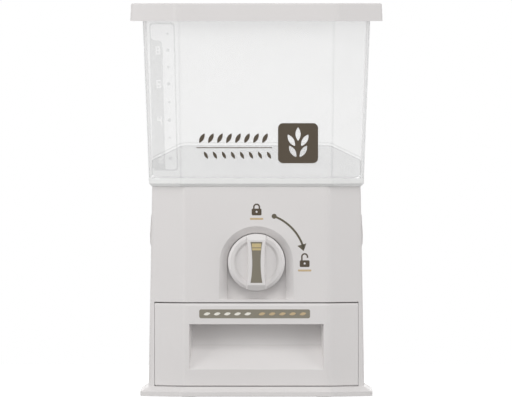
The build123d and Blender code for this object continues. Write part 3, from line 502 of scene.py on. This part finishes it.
def padlock(x, z, lifted):
    """Lock sign: a body with a keyhole and a shackle, which is lifted on the open one."""
    shackle_low = z + (SHACKLE_OPEN_Z if lifted else SHACKLE_CLOSED_Z)
    shackle_top = shackle_low + SHACKLE_LEG
    inner, outer = SHACKLE_RADIUS - SHACKLE_WIDTH / 2, SHACKLE_RADIUS + SHACKLE_WIDTH / 2
    case = rounded_box((x - LOCK_HALF_WIDTH, z - LOCK_HEIGHT), (x + LOCK_HALF_WIDTH, z), LOCK_CORNER)
    keyhole = disc((x, z - KEYHOLE_DROP), KEYHOLE_RADIUS, LOCK_STEPS)
    shackle = band((x, shackle_top), SHACKLE_RADIUS, SHACKLE_WIDTH, -90, 90, LOCK_STEPS)
    left_leg = plain_box((x - outer, z), (x - inner, shackle_top))
    right_leg = plain_box((x + inner, shackle_low if lifted else z), (x + outer, shackle_top))
    return [[case, keyhole[::-1]], [shackle], [left_leg], [right_leg]]


for lock_name, lock_px, lifted in LOCKS:
    x, z = from_photo(*lock_px)
    bar = rounded_box((x - BAR_HALF_WIDTH, z + BAR_LOW), (x + BAR_HALF_WIDTH, z + BAR_HIGH), BAR_CORNER)
    thin_piece(f"{lock_name}_mark", padlock(x, z, lifted), base_front, dark_ink, "base")
    thin_piece(f"{lock_name}_bar", [[bar]], base_front, tan_ink, "base")

# ---- Strip on the drawer, with a row of small grains

STRIP_LOW, STRIP_HIGH, STRIP_CORNER = from_photo(199.3, 317.9), from_photo(310.0, 309.0), 2.0
STRIP_ROWS = (("pale_grains", 207.0, pale_ink), ("tan_grains", 262.0, tan_ink))
STRIP_ROW_PY, STRIP_STEP_PX, STRIP_COUNT = 313.5, 10.2, 5
STRIP_GRAIN = {"length": 7.2, "width": 3.0, "lean": 78}

strip = rounded_box(STRIP_LOW, STRIP_HIGH, STRIP_CORNER)
thin_piece("drawer_strip", [[strip]], base_front, strip_ink, "drawer")
for row_name, first_px, mat in STRIP_ROWS:
    centres = [from_photo(first_px + i * STRIP_STEP_PX, STRIP_ROW_PY) for i in range(STRIP_COUNT)]
    row = [[grain(centre, **STRIP_GRAIN)] for centre in centres]
    thin_piece(row_name, row, base_front, mat, "drawer", lift=0.2, sink=0.0)

# ---- Badge and grain mark on the front of the hopper

BADGE_LOW, BADGE_HIGH, BADGE_CORNER = from_photo(278, 163), from_photo(318, 123), 5.2
SPRIG_LENGTH, SPRIG_WIDTH, SPRIG_LEAN = 14.0, 5.4, 32
SPRIG = (
    (0, 9.5, 0),
    (-7.0, 3.0, -SPRIG_LEAN),
    (7.0, 3.0, SPRIG_LEAN),
    (-5.5, -8.5, -SPRIG_LEAN),
    (5.5, -8.5, SPRIG_LEAN),
)
RULE_LOW, RULE_HIGH = from_photo(196.5, 147.9), from_photo(272.0, 147.1)
MARK_COUNT, MARK_FIRST_PX, MARK_STEP_PX = 8, 202.0, 9.0
UPPER_ROW_PY, UPPER_GRAIN = 138.0, {"length": 11.5, "width": 4.4, "lean": 28}
LOWER_ROW_PY, LOWER_GRAIN = 155.0, {"length": 8.5, "width": 3.2, "lean": 152}
LOWER_ROW_SHIFT_PX = 4.0

badge_x, badge_z = [(a + b) / 2 for a, b in zip(BADGE_LOW, BADGE_HIGH)]
sprig = [
    grain((badge_x + dx, badge_z + dz), SPRIG_LENGTH, SPRIG_WIDTH, lean) for dx, dz, lean in SPRIG
]
badge = [rounded_box(BADGE_LOW, BADGE_HIGH, BADGE_CORNER), *[leaf[::-1] for leaf in sprig]]
thin_piece("hopper_badge", [badge], hopper_front, dark_ink, "hopper")
mark = [[plain_box(RULE_LOW, RULE_HIGH)]]
for i in range(MARK_COUNT):
    px = MARK_FIRST_PX + i * MARK_STEP_PX
    mark.append([grain(from_photo(px, UPPER_ROW_PY), **UPPER_GRAIN)])
    mark.append([grain(from_photo(px + LOWER_ROW_SHIFT_PX, LOWER_ROW_PY), **LOWER_GRAIN)])
thin_piece("grain_mark", mark, hopper_front, dark_ink, "hopper")

# ---- Scale on the left corner of the hopper: a faint panel with plain numbers and dots, placed in pixels

PANEL_PX, PANEL_CORNER_PX = (149.3, 22.7, 174.7, 170.6), 3.6
PANEL_LEAN_TOP_PY, PANEL_LEAN = 22.6, 0.0236
FLAG_PX = (
    (163.6, 169.3), (162.0, 167.6), (161.8, 44.0), (160.8, 41.7), (158.6, 40.6), (154.2, 40.5),
    (151.6, 39.2), (150.4, 36.6), (150.4, 26.8), (151.2, 25.0), (153.0, 24.2), (170.6, 24.2),
    (172.6, 25.0), (173.5, 27.0), (173.5, 167.4), (171.8, 169.3),
)
NUMBERS_PX = ((8, 157.2, 50.3), (6, 157.2, 84.0), (4, 157.4, 120.3), (2, 158.1, 159.0))
DIGIT_WIDTH_PX, DIGIT_HEIGHT_PX = 4.6, 8.2
DOT_PX, DOTS_PY = 167.3, (33.9, 50.1, 67.0, 83.8, 102.0, 120.0, 137.7, 158.2)
SMALL_DOT, LARGE_DOT, SCALE_DOT_STEPS = 1.3, 1.8, 20

# A digit's outline as steps on a grid, and its closed rooms as spans of the grid's rows
DIGIT_COLUMNS = (0.0, 0.3, 0.7, 1.0)
DIGIT_ROWS = (0.0, 0.17, 0.415, 0.585, 0.83, 1.0)
DIGIT_PATHS = {
    2: ((0, 0), (3, 0), (3, 1), (1, 1), (1, 2), (3, 2), (3, 5), (0, 5), (0, 4), (2, 4), (2, 3), (0, 3)),
    4: ((2, 0), (3, 0), (3, 5), (2, 5), (2, 3), (1, 3), (1, 5), (0, 5), (0, 2), (2, 2)),
    6: ((0, 0), (3, 0), (3, 3), (1, 3), (1, 4), (3, 4), (3, 5), (0, 5)),
    8: ((0, 0), (3, 0), (3, 5), (0, 5)),
}
DIGIT_ROOMS = {2: (), 4: (), 6: ((1, 2),), 8: ((1, 2), (3, 4))}


def block_digit(number, px, py):
    """Outline cut out of the panel for a digit, and the islands that stay inside it, in pixels."""
    xs = [px + DIGIT_WIDTH_PX * (t - 0.5) for t in DIGIT_COLUMNS]
    ys = [py - DIGIT_HEIGHT_PX * (t - 0.5) for t in DIGIT_ROWS]
    cut = [(xs[i], ys[k]) for i, k in DIGIT_PATHS[number]]
    islands = [plain_box((xs[1], ys[a]), (xs[2], ys[b])) for a, b in DIGIT_ROOMS[number]]
    return cut, islands


def leaning(points):
    """Pixels of the panel, upright in the list, as places on the leaning corner of the hopper."""
    return [from_photo(px + (py - PANEL_LEAN_TOP_PY) * PANEL_LEAN, py) for px, py in points]


def px_rounded(x0, y0, x1, y1, radius):
    """Rounded box in pixels."""
    return [(x, -z) for x, z in rounded_box((x0, -y1), (x1, -y0), radius)]


panel = [leaning(px_rounded(*PANEL_PX, PANEL_CORNER_PX)), leaning(FLAG_PX)]
scale_shapes = [panel]
for number, px, py in NUMBERS_PX:
    cut, islands = block_digit(number, px, py)
    panel.append(leaning(cut))
    scale_shapes += [[leaning(island)[::-1]] for island in islands]
for i, py in enumerate(DOTS_PY):
    dot_radius = LARGE_DOT if i % 2 else SMALL_DOT
    scale_shapes.append([disc(leaning([(DOT_PX, py)])[0], dot_radius, SCALE_DOT_STEPS)])
thin_piece("scale_panel", scale_shapes, hopper_corner, scale_ink, "hopper", lift=0.15)

# ---- Frosted band round the foot of the hopper, with its bevelled lower edge

FOOT_LOW_Z, FOOT_BEVEL_Z, FOOT_TOP_Z = 218.5, 221.6, 227.2
FOOT_OUT, FOOT_LOW_OUT, FOOT_THICKNESS = 0.2, -2.7, 0.3
FOOT_FOLD_RADIUS = 8.0
# The band's top falls to the back: not at the front, this much at the middle, twice as much at the back
FOOT_FALL, FOOT_HALF_DEPTH = 1.4, 146


def folded_outline(size, out, radius, steps=5):
    """Bevelled rectangle with rounded folds, moved out by so much, anticlockwise from above."""
    w, d = size[0] / 2 + out, size[1] / 2 + out
    bevel = size[2] + out * (2 - math.sqrt(2))
    half = [Vector(p) for p in ((w, bevel - d), (w, d - bevel), (w - bevel, d), (bevel - w, d))]
    corners = half + [-p for p in half]
    half_turn = math.radians(22.5)
    points = []
    for i, corner in enumerate(corners):
        back = (corners[i - 1] - corner).normalized()
        on = (corners[(i + 1) % len(corners)] - corner).normalized()
        centre = corner + (back + on).normalized() * (radius + out) / math.cos(half_turn)
        start = corner + back * (radius + out) * math.tan(half_turn) - centre
        for k in range(steps + 1):
            x, y = turned(start.x, start.y, 2 * half_turn * k / steps)
            points.append((centre.x + x, centre.y + y))
    return points


foot_outside = ((FOOT_LOW_Z, FOOT_LOW_OUT), (FOOT_BEVEL_Z, FOOT_OUT), (FOOT_TOP_Z, FOOT_OUT))
foot_inside = [(z, out - FOOT_THICKNESS) for z, out in reversed(foot_outside)]
rings = []
for z, out in (*foot_outside, *foot_inside):
    outline = folded_outline(hopper_outline(z), out, FOOT_FOLD_RADIUS)
    fall = FOOT_FALL if z == FOOT_TOP_Z else 0.0
    rings.append([Vector((x, y, z - fall * (1 + y / FOOT_HALF_DEPTH))) * MM for x, y in outline])
around = len(rings[0])
foot_faces = []
for r in range(len(rings)):
    below, above = r * around, (r + 1) % len(rings) * around
    for i in range(around):
        j = (i + 1) % around
        foot_faces.append((below + i, below + j, above + j, above + i))
foot_band = mesh_object("hopper_foot_band", [v for ring in rings for v in ring], foot_faces, foot_plastic)
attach(foot_band, "hopper")

# ---- Gold bands on the knob's inlay

GOLD_BANDS_PX = ((252.0, 261.2, 243.1, 247.0), (252.2, 261.0, 247.8, 249.9))
gold_bands = [[plain_box(from_photo(x0, y1), from_photo(x1, y0))] for x0, x1, y0, y1 in GOLD_BANDS_PX]
thin_piece("knob_bands", gold_bands, inlay_front, gold_foil, "rotor", lift=0.06, sink=0.04)

# ---- Floor, light and camera

FLOOR_REACH = 1.6
FLOOR_GREY = (0.45, 0.45, 0.45, 1.0)
FLOOR_GLOW = 0.75
WORLD_LEVEL = 0.45
WHITE = (1.0, 1.0, 1.0, 1.0)
LAMP_TARGET = (0, 0, 0.2)
LAMPS = (
    # name, place, size and power
    ("left_lamp", (-2.45, -1.3, 0.6), 1.5, 29.5),
    ("right_lamp", (2.45, -1.3, 0.6), 1.5, 23.5),
    ("front_lamp", (0, -3.96, 4.16), 3.0, 108.0),
    ("rear_lamp", (0, 4.6, 2.2), 3.0, 75.0),
)
CAMERA_SENSOR, CAMERA_DISTANCE = 36.0, 19.0
SCALE_Y = -0.12  # near the bin's front, where one pixel is PHOTO_SCALE


def looked_at(tree):
    """One where the camera, a reflection or the clear plastic looks at it, and zero for other light."""
    path = tree.nodes.new("ShaderNodeLightPath")
    seen = path.outputs["Is Camera Ray"]
    for ray in ("Is Glossy Ray", "Is Transmission Ray"):
        seen = calc(tree, "MAXIMUM", seen, path.outputs[ray])
    return seen


def staged_floor():
    """Pale floor that keeps the bin's shadow."""
    mat = bpy.data.materials.new("floor_paper")
    tree, out = cleared(mat, "ShaderNodeOutputMaterial")
    diffuse = tree.nodes.new("ShaderNodeBsdfDiffuse")
    diffuse.inputs["Color"].default_value = FLOOR_GREY
    glow = tree.nodes.new("ShaderNodeEmission")
    tree.links.new(calc(tree, "MULTIPLY", looked_at(tree), FLOOR_GLOW), glow.inputs["Strength"])
    both = tree.nodes.new("ShaderNodeAddShader")
    tree.links.new(diffuse.outputs[0], both.inputs[0])
    tree.links.new(glow.outputs[0], both.inputs[1])
    tree.links.new(both.outputs[0], out.inputs["Surface"])
    corners = plain_box((-FLOOR_REACH, -FLOOR_REACH), (FLOOR_REACH, FLOOR_REACH))
    floor = mesh_object("floor", [(x, y, 0) for x, y in corners], [(0, 1, 2, 3)], mat)


def studio_world():
    """Even light, and plain white where it is looked at."""
    world = bpy.data.worlds.new("studio")
    scene.world = world
    tree, out = cleared(world, "ShaderNodeOutputWorld")
    mix = tree.nodes.new("ShaderNodeMixShader")
    tree.links.new(looked_at(tree), mix.inputs[0])
    for socket, level in ((mix.inputs[1], WORLD_LEVEL), (mix.inputs[2], 1.0)):
        sky = tree.nodes.new("ShaderNodeBackground")
        sky.inputs["Color"].default_value = WHITE
        sky.inputs["Strength"].default_value = level
        tree.links.new(sky.outputs[0], socket)
    tree.links.new(mix.outputs[0], out.inputs["Surface"])


def softbox(name, place, size, power):
    """Square lamp that points at the bin."""
    lamp = bpy.data.lights.new(name, "AREA")
    lamp.shape = "SQUARE"
    lamp.size = size
    lamp.energy = power
    obj = bpy.data.objects.new(name, lamp)
    obj.location = place
    obj.rotation_mode = "QUATERNION"
    obj.rotation_quaternion = (Vector(LAMP_TARGET) - Vector(place)).to_track_quat("-Z", "Y")
    scene.collection.objects.link(obj)


def photo_camera():
    """Camera in front of the bin, as high as the lid's lower edge, with the photograph's frame."""
    camera = bpy.data.cameras.new("camera")
    camera.sensor_width = CAMERA_SENSOR
    camera.lens = CAMERA_SENSOR * CAMERA_DISTANCE / (PHOTO_WIDTH * PHOTO_SCALE * MM)
    middle_x, middle_z = from_photo(PHOTO_WIDTH / 2, PHOTO_HEIGHT / 2)
    camera_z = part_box("lid")[0].z
    dip = math.atan2(camera_z - middle_z * MM, CAMERA_DISTANCE)
    obj = bpy.data.objects.new("camera", camera)
    obj.location = (middle_x * MM, SCALE_Y - CAMERA_DISTANCE, camera_z)
    obj.rotation_euler = (math.radians(90) - dip, 0, 0)
    scene.collection.objects.link(obj)
    scene.camera = obj


staged_floor()
studio_world()
for lamp_name, lamp_place, lamp_size, lamp_power in LAMPS:
    softbox(lamp_name, lamp_place, lamp_size, lamp_power)
photo_camera()
